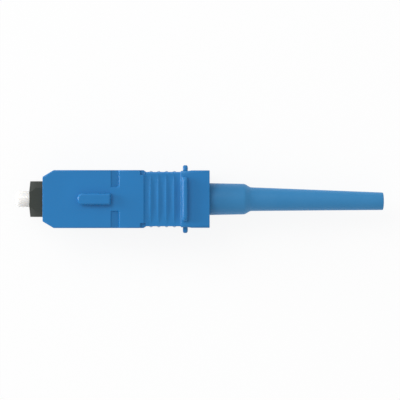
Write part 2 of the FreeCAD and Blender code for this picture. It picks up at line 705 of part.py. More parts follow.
# ---- Ferrule holder and splice ----

def stop_lug():
    """Lug on the barrel that ends the cam's turn."""
    start = CAM_SLOT_START + SIDE_GAP
    end = CAM_SLOT_END - SIDE_GAP
    root = HOLDER_BARREL_RADIUS - ROOT / 2
    crest = CAM_RADIUS - CAM_STOP_INSET
    outline = [(start, root), (start, HOLDER_BARREL_RADIUS), ((start + end) / 2, crest),
               (end, crest), (end, root)]
    face = face_from([point(x, 0, r) for x, r in outline])
    face = face.rotated(AXIS_START, AXIS, CAM_STOP_ANGLE - CAM_STOP_HALF_ANGLE)
    return face.revolve(AXIS_START, AXIS, 2 * CAM_STOP_HALF_ANGLE)


def ferrule_holder():
    """Moulded holder: flange, spring neck and the slotted barrel that carries the splice."""
    groove = FERRULE_RADIUS - FERRULE_GROOVE_DEPTH
    splice_seat = SPLICE_START - END_GAP
    body = fused([turned([(FERRULE_PROUD, groove),
                          (FERRULE_PROUD, HOLDER_FLANGE_RADIUS - HOLDER_EDGE),
                          (FERRULE_PROUD + HOLDER_EDGE, HOLDER_FLANGE_RADIUS),
                          (FLANGE_REAR, HOLDER_FLANGE_RADIUS),
                          (FLANGE_REAR, HOLDER_NECK_RADIUS),
                          (NECK_END - HOLDER_NECK_RADIUS + HOLDER_BARREL_RADIUS, HOLDER_NECK_RADIUS),
                          (NECK_END, HOLDER_BARREL_RADIUS),
                          (HOLDER_END, HOLDER_BARREL_RADIUS),
                          (HOLDER_END, HOLDER_BORE_RADIUS),
                          (splice_seat, HOLDER_BORE_RADIUS),
                          (splice_seat, HOLDER_PASSAGE_RADIUS),
                          (FERRULE_LENGTH, HOLDER_PASSAGE_RADIUS),
                          (FERRULE_LENGTH, FERRULE_RADIUS),
                          (GROOVE_END, FERRULE_RADIUS),
                          (GROOVE_END, groove)]), stop_lug()])
    half_slot = KEEL_WIDTH / 2 + SIDE_GAP
    slot = box((KEEL_START - SIDE_GAP, HOLDER_END), (-half_slot, half_slot), (0, HOLDER_FLANGE_RADIUS))
    half_notch = ROTATION_KEY_WIDTH / 2 + SIDE_GAP
    notch_floor = FRAME_BORE_RADIUS - ROTATION_KEY_DEPTH - SIDE_GAP
    notch = box((FERRULE_PROUD, FLANGE_REAR), (-half_notch, half_notch), (notch_floor, FRAME_BORE_RADIUS))
    for cut in [slot] + height_pair(notch):
        body = body.cut(cut)
    return body


def splice_funnels():
    """Cones that lead a fibre into the groove from either end of the splice."""
    front = point(SPLICE_START, 0, 0)
    rear = point(SPLICE_END, 0, 0)
    return [Part.makeCone(SPLICE_FUNNEL_RADIUS, FIBRE_RADIUS, SPLICE_FUNNEL_LENGTH, front, AXIS),
            Part.makeCone(SPLICE_FUNNEL_RADIUS, FIBRE_RADIUS, SPLICE_FUNNEL_LENGTH, rear, -AXIS)]


def splice_half(low, high):
    """Part of the splice's round body between two heights."""
    band = box((SPLICE_START, SPLICE_END), (-SPLICE_RADIUS, SPLICE_RADIUS), (low, high))
    return rod(SPLICE_START, SPLICE_END, SPLICE_RADIUS).common(band)


def splice_base():
    """Lower splice half with the V-groove that lines up the two fibre ends."""
    body = splice_half(-SPLICE_RADIUS, FIBRE_RADIUS - SPLICE_OPEN_GAP)
    vertex = -FIBRE_RADIUS * math.sqrt(2)
    rim = vertex + SPLICE_RADIUS
    vee = [(0, vertex), (SPLICE_RADIUS, rim), (-SPLICE_RADIUS, rim)]
    groove = section_prism(vee, SPLICE_START, SPLICE_END)
    for cut in [groove] + splice_funnels():
        body = body.cut(cut)
    return body


def splice_cover():
    """Upper splice half with the keel that the cam presses down."""
    fin = box((KEEL_START, KEEL_START + KEEL_LENGTH), (-KEEL_WIDTH / 2, KEEL_WIDTH / 2),
              (SPLICE_RADIUS / 2, KEEL_RADIUS))
    crown = rod(KEEL_START, KEEL_START + KEEL_LENGTH, KEEL_RADIUS)
    body = fused([splice_half(FIBRE_RADIUS, SPLICE_RADIUS), fin.common(crown)])
    for cut in splice_funnels():
        body = body.cut(cut)
    return body


def cam_stop_slot():
    """Slot through the cam's wall in which the holder's stop lug travels."""
    inner = HOLDER_BARREL_RADIUS - ROOT
    outer = CAM_RADIUS + ROOT
    corners = [(CAM_SLOT_START, inner), (CAM_SLOT_END, inner), (CAM_SLOT_END, outer), (CAM_SLOT_START, outer)]
    reach = CAM_STOP_HALF_ANGLE + CAM_STOP_SLACK_ANGLE
    face = face_from([point(x, 0, r) for x, r in corners])
    face = face.rotated(AXIS_START, AXIS, CAM_STOP_ANGLE - CAM_TURN - reach)
    return face.revolve(AXIS_START, AXIS, CAM_TURN + 2 * reach)


def cam_sleeve():
    """Cam that clamps the splice: a round bore with an eccentric track over the keel."""
    body = rod(CAM_START, CAM_END, CAM_RADIUS).cut(rod(CAM_START, CAM_END, CAM_BORE_RADIUS))
    track_start = point(CAM_START, 0, CAM_TRACK_OFFSET)
    track = Part.makeCylinder(CAM_TRACK_RADIUS, CAM_TRACK_END - CAM_START, track_start, AXIS)
    flat = box((CAM_END - CAM_FLAT_LENGTH, CAM_END), (CAM_RADIUS - CAM_FLAT_DEPTH, CAM_RADIUS),
               (-CAM_RADIUS, CAM_RADIUS))
    for cut in [track, cam_stop_slot()] + across_pair(flat):
        body = body.cut(cut)
    return body


# ---- Spring and retainer ----

def wire_section(centre):
    """Many-sided section of the spring wire, square to the +Y direction."""
    corners = []
    for index in range(SPRING_WIRE_SIDES):
        angle = 2 * math.pi * (index + 0.5) / SPRING_WIRE_SIDES
        corners.append(centre + (AXIS * math.cos(angle) + UP * math.sin(angle)) * (SPRING_WIRE / 2))
    return face_from(corners)


def half_turn(begin, finish):
    """Half a turn of spring wire: a tilted half ring from one side of the axis to the other."""
    ring_axis = ACROSS.cross(finish - begin) * math.copysign(1, begin.z)
    return wire_section(begin).revolve((begin + finish) * 0.5, ring_axis, 180)


def spring():
    """Compression spring of many-sided wire, with a closed, ground half turn at each end."""
    closed = SPRING_CLOSED_PITCH / 2
    active_halves = 2 * SPRING_ACTIVE_TURNS
    active = (SPRING_END - FLANGE_REAR - 2 * closed) / active_halves
    begin = point(FLANGE_REAR, 0, SPRING_MEAN_RADIUS)
    halves = []
    for advance in [closed] + [active] * active_halves + [closed]:
        finish = point(begin.x + advance, 0, -begin.z)
        halves.append(half_turn(begin, finish))
        begin = finish
    ground_length = rod(FLANGE_REAR, SPRING_END, SPRING_MEAN_RADIUS + SPRING_WIRE)
    return fused(halves).common(ground_length)


def snap_wedge():
    """Wedge that locks the retainer behind the frame's window."""
    root = RETAINER_RADIUS - RETAINER_WALL / 2
    outline = [(SNAP_START, root), (SNAP_START, RETAINER_RADIUS - SIDE_GAP),
               (SNAP_END - SIDE_GAP, SNAP_HEIGHT), (SNAP_END, SNAP_HEIGHT), (SNAP_END, root)]
    return side_prism(outline, SNAP_SPAN / 2)


def spring_retainer():
    """Snap-in sleeve that backs the spring and carries the boot on its rear barrel."""
    guide = HOLDER_BARREL_RADIUS + GUIDE_GAP
    groove = RETAINER_BARREL_RADIUS - BOOT_GROOVE_DEPTH
    sleeve = turned([(SPRING_END, guide), (SPRING_END, RETAINER_RADIUS), (BARREL_START, RETAINER_RADIUS),
                     (BARREL_START, RETAINER_BARREL_RADIUS), (BOOT_GROOVE_START, RETAINER_BARREL_RADIUS),
                     (BOOT_GROOVE_START, groove), (BOOT_GROOVE_END, groove),
                     (BOOT_GROOVE_END, RETAINER_BARREL_RADIUS), (BARREL_END, RETAINER_BARREL_RADIUS),
                     (BARREL_END, RETAINER_BORE_RADIUS), (GUIDE_END, RETAINER_BORE_RADIUS),
                     (GUIDE_END, guide)])
    section = bevelled_section(FRAME_REAR_HALF_WIDTH - RETAINER_COLLAR_INSET,
                               FRAME_HALF_HEIGHT - RETAINER_COLLAR_INSET, RETAINER_COLLAR_BEVEL)
    collar = section_prism(section, FRAME_END, BARREL_START)
    collar = collar.cut(rod(FRAME_END, BARREL_START, RETAINER_BORE_RADIUS))
    body = fused([sleeve, collar] + height_pair(snap_wedge()))
    slit = box((SPRING_END, SPRING_END + RETAINER_SLIT_LENGTH), (-RETAINER_RADIUS, RETAINER_RADIUS),
               (-RETAINER_SLIT / 2, RETAINER_SLIT / 2))
    return body.cut(slit)


# ---- Lead-in tube, crimp tube and boot ----

def lead_in_tube():
    """Funnel that guides the field fibre into the splice and takes its buffer."""
    cone_start = LEAD_IN_START + LEAD_IN_THROAT_LENGTH
    return turned([(LEAD_IN_START, LEAD_IN_THROAT_RADIUS), (LEAD_IN_START, HOLDER_BORE_RADIUS),
                   (HOLDER_END, HOLDER_BORE_RADIUS), (HOLDER_END, LEAD_IN_RADIUS),
                   (LEAD_IN_END, LEAD_IN_RADIUS), (LEAD_IN_END, LEAD_IN_BORE_RADIUS),
                   (cone_start + LEAD_IN_CONE_LENGTH, LEAD_IN_BORE_RADIUS),
                   (cone_start, LEAD_IN_THROAT_RADIUS)])


def crimp_tube():
    """Thin metal tube that is crimped onto the fibre's buffer."""
    bore = rod(CRIMP_START, CRIMP_END, CRIMP_RADIUS - CRIMP_WALL)
    return rod(CRIMP_START, CRIMP_END, CRIMP_RADIUS).cut(bore)


def boot_outline():
    """Outer line of the boot, as (x, radius) points: tapered collar, eased shoulder, long tail."""
    ease_length = BOOT_SHOULDER_LENGTH * BOOT_EASE
    ease_drop = (BOOT_REAR_RADIUS - TAIL_START_RADIUS) * BOOT_EASE_DROP
    return [(BOOT_FRONT, BOOT_FRONT_RADIUS),
            (BOOT_SHOULDER_START, BOOT_REAR_RADIUS),
            (BOOT_SHOULDER_START + ease_length, BOOT_REAR_RADIUS - ease_drop),
            (BOOT_TAIL_START - ease_length, TAIL_START_RADIUS + ease_drop),
            (BOOT_TAIL_START, TAIL_START_RADIUS),
            (BOOT_TIP - BOOT_TIP_EDGE, TAIL_TIP_RADIUS),
            (BOOT_TIP, TAIL_TIP_RADIUS - BOOT_TIP_EDGE)]


def boot():
    """Soft boot: snaps over the retainer's barrel and tapers down to the cable entry."""
    bead = RETAINER_BARREL_RADIUS - BOOT_GROOVE_DEPTH
    hold_end = BARREL_END + SIDE_GAP
    bore = [(BOOT_TIP, BOOT_ENTRY_RADIUS), (BOOT_ENTRY_START, BOOT_ENTRY_RADIUS),
            (BOOT_CRIMP_BORE_END, BOOT_CRIMP_BORE_RADIUS), (BOOT_CAM_BORE_END, BOOT_CRIMP_BORE_RADIUS),
            (BOOT_CAM_BORE_END, BOOT_CAM_BORE_RADIUS), (hold_end, BOOT_CAM_BORE_RADIUS),
            (hold_end, RETAINER_BARREL_RADIUS), (BOOT_GROOVE_END, RETAINER_BARREL_RADIUS),
            (BOOT_GROOVE_END, bead), (BOOT_GROOVE_START, bead),
            (BOOT_GROOVE_START, RETAINER_BARREL_RADIUS), (BOOT_FRONT, RETAINER_BARREL_RADIUS)]
    return turned(boot_outline() + bore)


PIECES = {
    "grip": grip,
    "plug_frame": plug_frame,
    "ferrule": ferrule,
    "fibre_stub": fibre_stub,
    "ferrule_holder": ferrule_holder,
    "splice_base": splice_base,
    "splice_cover": splice_cover,
    "cam_sleeve": cam_sleeve,
    "spring": spring,
    "spring_retainer": spring_retainer,
    "lead_in_tube": lead_in_tube,
    "crimp_tube": crimp_tube,
    "boot": boot,
}


def main():
    """Build every piece and write one STEP file for each."""
    os.makedirs("parts", exist_ok=True)
    for name, build in PIECES.items():
        shape = build()
        solid = shape.Solids[0] if len(shape.Solids) == 1 else shape
        solid.exportStep(f"parts/{name}.step")
        box_size = solid.BoundBox
        print(f"{name}: {len(shape.Solids)} solid, valid {solid.isValid()}, {solid.Volume:.3f} mm3, "
              f"x {box_size.XMin:.2f} to {box_size.XMax:.2f}")


main()
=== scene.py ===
"""Looks of the field-fit SC fibre connector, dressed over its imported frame.

Metres throughout, in the frame's own axes: +X from the ferrule tip to the boot, +Z the key side.
"""

import logging
import math
from dataclasses import dataclass, field
from enum import Enum
from typing import Protocol

import bmesh
import bpy
from mathutils import Matrix, Vector


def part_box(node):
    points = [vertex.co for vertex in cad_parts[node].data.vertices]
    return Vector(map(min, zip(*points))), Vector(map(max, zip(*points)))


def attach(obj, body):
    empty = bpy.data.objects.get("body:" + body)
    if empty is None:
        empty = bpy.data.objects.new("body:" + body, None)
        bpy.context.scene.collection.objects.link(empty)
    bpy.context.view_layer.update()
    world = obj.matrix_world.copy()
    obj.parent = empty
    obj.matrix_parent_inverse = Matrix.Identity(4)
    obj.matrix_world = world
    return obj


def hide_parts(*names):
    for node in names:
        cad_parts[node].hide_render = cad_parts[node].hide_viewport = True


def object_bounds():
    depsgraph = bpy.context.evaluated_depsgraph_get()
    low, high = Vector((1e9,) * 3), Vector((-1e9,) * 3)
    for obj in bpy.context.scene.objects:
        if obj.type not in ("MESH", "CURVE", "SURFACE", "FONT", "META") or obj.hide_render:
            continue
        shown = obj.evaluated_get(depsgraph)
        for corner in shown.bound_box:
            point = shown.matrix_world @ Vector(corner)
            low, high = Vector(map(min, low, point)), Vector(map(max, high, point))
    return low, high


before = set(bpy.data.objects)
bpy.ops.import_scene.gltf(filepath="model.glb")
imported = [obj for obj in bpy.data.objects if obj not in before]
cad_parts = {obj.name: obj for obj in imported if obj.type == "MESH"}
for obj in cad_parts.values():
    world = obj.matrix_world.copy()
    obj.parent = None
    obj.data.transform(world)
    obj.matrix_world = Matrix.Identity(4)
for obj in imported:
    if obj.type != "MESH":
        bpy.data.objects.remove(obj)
CAD_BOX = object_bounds()

LOG = logging.getLogger("connector")
MM = 0.001
Colour = tuple[float, float, float]
Outline = list[tuple[float, float]]


class Body(Enum):
    """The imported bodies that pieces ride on."""

    FRAME = "frame_body"
    GRIP = "grip_body"
    CARRIER = "ferrule_carrier"
    CAM = "cam_body"


class Finish(Protocol):
    """Anything that can build one material."""

    def material(self) -> bpy.types.Material:
        """Builds the finish."""


# ---- Node trees ----

class NodeSheet:
    """A node tree, with short calls that add nodes and join their sockets."""

    def __init__(self, tree: bpy.types.NodeTree) -> None:
        """Takes a tree and empties it.

        Args:
            tree: the node tree to fill.
        """
        self.tree = tree
        tree.nodes.clear()

    def add(self, kind: str, inputs: dict[str, object] | None = None, **settings: object) -> bpy.types.Node:
        """Adds one node.

        Args:
            kind: the node's type name without its ShaderNode prefix.
            inputs: a value or a source socket for each named input.
            settings: plain properties of the node.

        Returns:
            The new node.
        """
        node = self.tree.nodes.new("ShaderNode" + kind)
        for name, value in settings.items():
            setattr(node, name, value)
        for name, value in (inputs or {}).items():
            self.feed(node.inputs[name], value)
        return node

    def feed(self, socket: bpy.types.NodeSocket, value: object) -> None:
        """Joins a source socket to an input, or sets the input's own value.

        Args:
            socket: the input to feed.
            value: a source socket, or a plain value.
        """
        if isinstance(value, bpy.types.NodeSocket):
            self.tree.links.new(value, socket)
        else:
            socket.default_value = value

    def math(self, operation: str, first: object, second: object = 0.0,
             clamp: bool = False) -> bpy.types.NodeSocket:
        """Adds a math node.

        Args:
            operation: the operation's name.
            first: the first operand, a value or a socket.
            second: the second operand, a value or a socket.
            clamp: whether the result stays between 0 and 1.

        Returns:
            The result socket.
        """
        node = self.tree.nodes.new("ShaderNodeMath")
        node.operation = operation
        node.use_clamp = clamp
        self.feed(node.inputs[0], first)
        self.feed(node.inputs[1], second)
        return node.outputs[0]

    def ramp(self, value: object, low: float, high: float, to_low: float = 0.0,
             to_high: float = 1.0) -> bpy.types.NodeSocket:
        """Maps a value smoothly from one span to another, held at both ends.

        Args:
            value: the socket to map.
            low: the value that gives to_low.
            high: the value that gives to_high.
            to_low: the result at low.
            to_high: the result at high.

        Returns:
            The mapped socket.
        """
        node = self.add("MapRange", {"Value": value, "From Min": low, "From Max": high,
                                     "To Min": to_low, "To Max": to_high}, interpolation_type="SMOOTHSTEP")
        return node.outputs["Result"]

    def blend(self, factor: object, first: object, second: object) -> bpy.types.NodeSocket:
        """Mixes two colours.

        Args:
            factor: how much of the second colour shows.
            first: the first colour, a value or a socket.
            second: the second colour, a value or a socket.

        Returns:
            The mixed colour's socket.
        """
        node = self.tree.nodes.new("ShaderNodeMix")
        node.data_type = "RGBA"
        self.feed(node.inputs["Factor"], factor)
        self.feed(node.inputs["A"], first)
        self.feed(node.inputs["B"], second)
        return node.outputs["Result"]


class Effect(Enum):
    """The shared surface effects, each a node group that is built once."""

    MOULDED_SKIN = "moulded_skin"
    PARTING_LINE = "parting_line"
    TURNED_LINES = "turned_lines"


@dataclass
class Effects:
    """Builds the shared node groups and places them in materials.

    The edge mask runs from edge_starts to edge_full, the cosine between the flat and the softened normal.
    """

    edge_starts: float = 0.999
    edge_full: float = 0.80
    edge_samples: int = 8
    line_core: float = 0.3
    scale_times_pitch: float = 0.16
    groups: dict[Effect, bpy.types.ShaderNodeTree] = field(default_factory=dict)

    def _new_group(self, effect: Effect, inputs: dict[str, float],
                   outputs: dict[str, str]) -> tuple[NodeSheet, bpy.types.Node]:
        """Makes an empty group with its sockets.

        Args:
            effect: the effect that the group holds.
            inputs: each number input's name and default.
            outputs: each output's name and socket kind.

        Returns:
            The group's node sheet and its input node.
        """
        tree = bpy.data.node_groups.new(effect.value, "ShaderNodeTree")
        for name, default in inputs.items():
            socket = tree.interface.new_socket(name=name, in_out="INPUT", socket_type="NodeSocketFloat")
            socket.default_value = default
        for name, kind in outputs.items():
            tree.interface.new_socket(name=name, in_out="OUTPUT", socket_type="NodeSocket" + kind)
        self.groups[effect] = tree
        sheet = NodeSheet(tree)
        return sheet, tree.nodes.new("NodeGroupInput")

    def _moulded_skin(self) -> None:
        """Softened edges, fine tool grain and slow changes of tone, as on any injection moulding."""
        sheet, given = self._new_group(
            Effect.MOULDED_SKIN,
            {"Edge Radius": 0.1 * MM, "Grain Size": 0.06 * MM,
             "Grain Depth": 0.002 * MM, "Tone Size": 4 * MM},
            {"Normal": "Vector", "Edge": "Float", "Tone": "Float", "Grain": "Float"})
        place = sheet.add("TexCoord").outputs["Object"]
        rounded = sheet.add("Bevel", {"Radius": given.outputs["Edge Radius"]}, samples=self.edge_samples)
        flat = sheet.add("NewGeometry").outputs["Normal"]
        turn = sheet.add("VectorMath", operation="DOT_PRODUCT")
        sheet.feed(turn.inputs[0], rounded.outputs["Normal"])
        sheet.feed(turn.inputs[1], flat)
        edge = sheet.ramp(turn.outputs["Value"], self.edge_starts, self.edge_full)
        grain_scale = sheet.math("DIVIDE", 1.0, given.outputs["Grain Size"])
        grain = sheet.add("TexNoise", {"Vector": place, "Scale": grain_scale,
                                       "Detail": 2.0, "Roughness": 0.6})
        tone_scale = sheet.math("DIVIDE", 1.0, given.outputs["Tone Size"])
        tone = sheet.add("TexNoise", {"Vector": place, "Scale": tone_scale, "Detail": 3.0, "Roughness": 0.5})
        bumped = sheet.add("Bump", {"Height": grain.outputs["Fac"], "Distance": given.outputs["Grain Depth"],
                                    "Normal": rounded.outputs["Normal"], "Strength": 1.0})
        result = sheet.tree.nodes.new("NodeGroupOutput")
        sheet.feed(result.inputs["Normal"], bumped.outputs["Normal"])
        sheet.feed(result.inputs["Edge"], edge)
        sheet.feed(result.inputs["Tone"], tone.outputs["Fac"])
        sheet.feed(result.inputs["Grain"], grain.outputs["Fac"])

    def _parting_line(self) -> None:
        """A thin raised line along both sides, where the two halves of the mould met."""
        sheet, given = self._new_group(Effect.PARTING_LINE, {"Half Width": 0.03 * MM}, {"Line": "Float"})
        height = sheet.add("SeparateXYZ", {"Vector": sheet.add("TexCoord").outputs["Object"]}).outputs["Z"]
        distance = sheet.math("ABSOLUTE", height)
        nearness = sheet.math("DIVIDE", distance, given.outputs["Half Width"])
        line = sheet.ramp(nearness, 1.0, self.line_core)
        result = sheet.tree.nodes.new("NodeGroupOutput")
        sheet.feed(result.inputs["Line"], line)

    def _turned_lines(self) -> None:
        """Fine rings about the optical axis, as a lathe or a drawing die leaves them."""
        sheet, given = self._new_group(Effect.TURNED_LINES, {"Pitch": 0.05 * MM}, {"Line": "Float"})
        place = sheet.add("TexCoord").outputs["Object"]
        scale = sheet.math("DIVIDE", self.scale_times_pitch, given.outputs["Pitch"])
        wave = sheet.add("TexWave", {"Vector": place, "Scale": scale, "Distortion": 1.5, "Detail": 2.0},
                         wave_type="BANDS", bands_direction="X")
        result = sheet.tree.nodes.new("NodeGroupOutput")
        sheet.feed(result.inputs["Line"], wave.outputs["Fac"])

    def place(self, sheet: NodeSheet, effect: Effect, **values: float) -> bpy.types.Node:
        """Places an effect in a material, building its group at the first use.

        Args:
            sheet: the material's node sheet.
            effect: the effect to place.
            values: the group's inputs, with underscores for spaces.

        Returns:
            The group's node.
        """
        if effect not in self.groups:
            builders = {Effect.MOULDED_SKIN: self._moulded_skin, Effect.PARTING_LINE: self._parting_line,
                        Effect.TURNED_LINES: self._turned_lines}
            builders[effect]()
        node = sheet.tree.nodes.new("ShaderNodeGroup")
        node.node_tree = self.groups[effect]
        for name, value in values.items():
            node.inputs[name.replace("_", " ")].default_value = value
        return node


EFFECTS = Effects()


# ---- Finishes ----

GRAIN_LOW = 0.3
GRAIN_HIGH = 0.7


def opaque(colour: Colour) -> tuple[float, float, float, float]:
    """Gives a colour its full alpha."""
    return (*colour, 1.0)


def new_material(name: str) -> tuple[bpy.types.Material, NodeSheet, bpy.types.Node]:
    """Makes a material that holds a Principled shader and its output.

    Args:
        name: the material's name.

    Returns:
        The material, its node sheet and the Principled node.
    """
    material = bpy.data.materials.new(name)
    material.use_nodes = True
    sheet = NodeSheet(material.node_tree)
    shader = sheet.add("BsdfPrincipled")
    sheet.add("OutputMaterial", {"Surface": shader.outputs["BSDF"]})
    return material, sheet, shader


@dataclass(frozen=True)
class Skin:
    """How coarse a surface is: its softened edges, its grain and its slow changes of tone."""

    edge_radius: float
    grain_size: float
    grain_depth: float
    tone_size: float

    def place(self, sheet: NodeSheet) -> bpy.types.Node:
        """Places the moulded skin effect with these sizes.

        Args:
            sheet: the material's node sheet.

        Returns:
            The group's node.
        """
        return EFFECTS.place(sheet, Effect.MOULDED_SKIN, Edge_Radius=self.edge_radius,
                             Grain_Size=self.grain_size, Grain_Depth=self.grain_depth,
                             Tone_Size=self.tone_size)


@dataclass(frozen=True)
class MouldedPlastic:
    """A satin injection moulding: even colour, softened edges that catch light and are painted lighter as a
    highlight (partly the paler blush of a moulded edge), and a fine tool grain.
    """

    name: str
    colour: Colour
    # Painted edge highlight colour, mixed in at the softened edges; partly the paler blush of a moulded edge.
    edge_highlight_colour: Colour
    roughness: float
    skin: Skin = Skin(0.10 * MM, 0.06 * MM, 0.0012 * MM, 5 * MM)
    tone_spread: float = 0.06
    edge_highlight_strength: float = 0.35
    roughness_spread: float = 0.04
    specular: float = 0.4

    def material(self) -> bpy.types.Material:
        """Builds the finish.

        Returns:
            The material.
        """
        material, sheet, shader = new_material(self.name)
        skin = self.skin.place(sheet)
        deep = tuple(channel * (1 - self.tone_spread) for channel in self.colour)
        pale = tuple(min(1.0, channel * (1 + self.tone_spread)) for channel in self.colour)
        body = sheet.blend(skin.outputs["Tone"], opaque(deep), opaque(pale))
        # Paints the softened edges lighter: a painted highlight, partly the paler blush of a moulded edge.
        edge = sheet.math("MULTIPLY", skin.outputs["Edge"], self.edge_highlight_strength)
        sheet.feed(shader.inputs["Base Color"], sheet.blend(edge, body, opaque(self.edge_highlight_colour)))
        rough = sheet.ramp(skin.outputs["Grain"], GRAIN_LOW, GRAIN_HIGH,
                           self.roughness - self.roughness_spread, self.roughness + self.roughness_spread)
        sheet.feed(shader.inputs["Roughness"], rough)
        sheet.feed(shader.inputs["Normal"], skin.outputs["Normal"])
        shader.inputs["Specular IOR Level"].default_value = self.specular
        return material


@dataclass(frozen=True)
class SoftElastomer:
    """A soft matt moulding, a little duller than the hard parts, with a faint parting line."""

    name: str
    colour: Colour
    pale_colour: Colour
    roughness: float = 0.46
    line_half_width: float = 0.04 * MM
    line_height: float = 0.006 * MM
    skin: Skin = Skin(0.05 * MM, 0.09 * MM, 0.003 * MM, 3 * MM)
    tone_share: float = 0.5
    line_share: float = 0.25
    smoother: float = 0.05
    rougher: float = 0.06
    specular: float = 0.45
    bloom: float = 0.50
    bloom_roughness: float = 0.5

    def material(self) -> bpy.types.Material:
        """Builds the finish.

        Returns:
            The material.
        """
        material, sheet, shader = new_material(self.name)
        skin = self.skin.place(sheet)
        line = EFFECTS.place(sheet, Effect.PARTING_LINE, Half_Width=self.line_half_width)
        bloom = sheet.math("ADD", sheet.math("MULTIPLY", skin.outputs["Tone"], self.tone_share),
                           sheet.math("MULTIPLY", line.outputs["Line"], self.line_share), clamp=True)
        sheet.feed(shader.inputs["Base Color"],
                   sheet.blend(bloom, opaque(self.colour), opaque(self.pale_colour)))
        rough = sheet.ramp(skin.outputs["Grain"], GRAIN_LOW, GRAIN_HIGH,
                           self.roughness - self.smoother, self.roughness + self.rougher)
        sheet.feed(shader.inputs["Roughness"], rough)
        raised = sheet.add("Bump", {"Height": line.outputs["Line"], "Distance": self.line_height,
                                    "Normal": skin.outputs["Normal"]})
        sheet.feed(shader.inputs["Normal"], raised.outputs["Normal"])
        shader.inputs["Specular IOR Level"].default_value = self.specular
        shader.inputs["Sheen Weight"].default_value = self.bloom
        shader.inputs["Sheen Roughness"].default_value = self.bloom_roughness
        shader.inputs["Sheen Tint"].default_value = opaque(self.pale_colour)
        return material


@dataclass(frozen=True)
class PolishedCeramic:
    """Dense white zirconia, ground round and polished, with a warm slightly waxy body."""

    name: str
    colour: Colour
    warm_colour: Colour
    roughness: float = 0.16
    ring_roughness: float = 0.05
    ring_pitch: float = 0.08 * MM
    skin: Skin = Skin(0.06 * MM, 0.15 * MM, 0.0002 * MM, 1.5 * MM)
    coat: float = 0.15
    coat_roughness: float = 0.08
    scatter: float = 0.8
    scatter_depth: float = 2.0 * MM
    scatter_spread: Colour = (1.0, 0.95, 0.88)

    def material(self) -> bpy.types.Material:
        """Builds the finish.

        Returns:
            The material.
        """
        material, sheet, shader = new_material(self.name)
        skin = self.skin.place(sheet)
        sheet.feed(shader.inputs["Base Color"],
                   sheet.blend(skin.outputs["Tone"], opaque(self.colour), opaque(self.warm_colour)))
        rings = EFFECTS.place(sheet, Effect.TURNED_LINES, Pitch=self.ring_pitch)
        rough = sheet.ramp(rings.outputs["Line"], 0.0, 1.0,
                           self.roughness, self.roughness + self.ring_roughness)
        sheet.feed(shader.inputs["Roughness"], rough)
        sheet.feed(shader.inputs["Normal"], skin.outputs["Normal"])
        shader.inputs["Coat Roughness"].default_value = self.coat_roughness
        shader.inputs["Coat Weight"].default_value = self.coat
        shader.inputs["Subsurface Weight"].default_value = self.scatter
        shader.inputs["Subsurface Radius"].default_value = self.scatter_spread
        shader.inputs["Subsurface Scale"].default_value = self.scatter_depth
        return material


@dataclass(frozen=True)
class WorkedMetal:
    """Metal that was turned or drawn: fine rings, a little tarnish in the tone."""

    name: str
    colour: Colour
    tarnish: Colour
    roughness: float
    pitch: float = 0.05 * MM
    ring_depth: float = 0.001 * MM
    ring_roughness: float = 0.12
    skin: Skin = Skin(0.03 * MM, 0.2 * MM, 0.0005 * MM, 1 * MM)

    def material(self) -> bpy.types.Material:
        """Builds the finish.

        Returns:
            The material.
        """
        material, sheet, shader = new_material(self.name)
        skin = self.skin.place(sheet)
        rings = EFFECTS.place(sheet, Effect.TURNED_LINES, Pitch=self.pitch)
        sheet.feed(shader.inputs["Base Color"],
                   sheet.blend(skin.outputs["Tone"], opaque(self.colour), opaque(self.tarnish)))
        rough = sheet.ramp(rings.outputs["Line"], 0.0, 1.0,
                           self.roughness, self.roughness + self.ring_roughness)
        sheet.feed(shader.inputs["Roughness"], rough)
        raised = sheet.add("Bump", {"Height": rings.outputs["Line"], "Distance": self.ring_depth,
                                    "Normal": skin.outputs["Normal"]})
        sheet.feed(shader.inputs["Normal"], raised.outputs["Normal"])
        shader.inputs["Metallic"].default_value = 1.0
        return material


@dataclass(frozen=True)
class DrawnGlass:
    """Bare optical glass, clear with the faintest change of tint."""

    name: str
    colour: Colour
    tint: Colour
    roughness: float = 0.03
    refraction: float = 1.46
    clearness: float = 0.8
    skin: Skin = Skin(0.005 * MM, 0.05 * MM, 0.0001 * MM, 1 * MM)

    def material(self) -> bpy.types.Material:
        """Builds the finish.

        Returns:
            The material.
        """
        material, sheet, shader = new_material(self.name)
        skin = self.skin.place(sheet)
        sheet.feed(shader.inputs["Base Color"],
                   sheet.blend(skin.outputs["Tone"], opaque(self.colour), opaque(self.tint)))
        shader.inputs["Roughness"].default_value = self.roughness
        shader.inputs["IOR"].default_value = self.refraction
        shader.inputs["Transmission Weight"].default_value = self.clearness
        return material


# Each moulding's second colour is its painted edge highlight, partly the paler blush of a moulded edge.
GRIP_BLUE = MouldedPlastic("grip_blue_satin", (0.010, 0.180, 0.463), (0.060, 0.290, 0.640), 0.32)
FRAME_BLACK = MouldedPlastic("frame_black_satin", (0.032, 0.039, 0.033), (0.085, 0.092, 0.080), 0.30,
                             Skin(0.06 * MM, 0.06 * MM, 0.0012 * MM, 5 * MM),
                             tone_spread=0.15, edge_highlight_strength=0.5)
HOLDER_WHITE = MouldedPlastic("holder_white_satin", (0.80, 0.80, 0.76), (0.88, 0.88, 0.85), 0.42)
SPLICE_NATURAL = MouldedPlastic("splice_natural_satin", (0.70, 0.66, 0.52), (0.80, 0.77, 0.66), 0.30)
CAM_BLACK = MouldedPlastic("cam_black_satin", (0.030, 0.030, 0.033), (0.075, 0.075, 0.080), 0.40)
LEAD_IN_WHITE = MouldedPlastic("lead_in_white_satin", (0.82, 0.82, 0.82), (0.9, 0.9, 0.9), 0.36)
BOOT_BLUE = SoftElastomer("boot_blue_matt", (0.018, 0.202, 0.452), (0.044, 0.240, 0.500))
ZIRCONIA = PolishedCeramic("zirconia_polished", (0.85, 0.84, 0.83), (0.83, 0.81, 0.79))
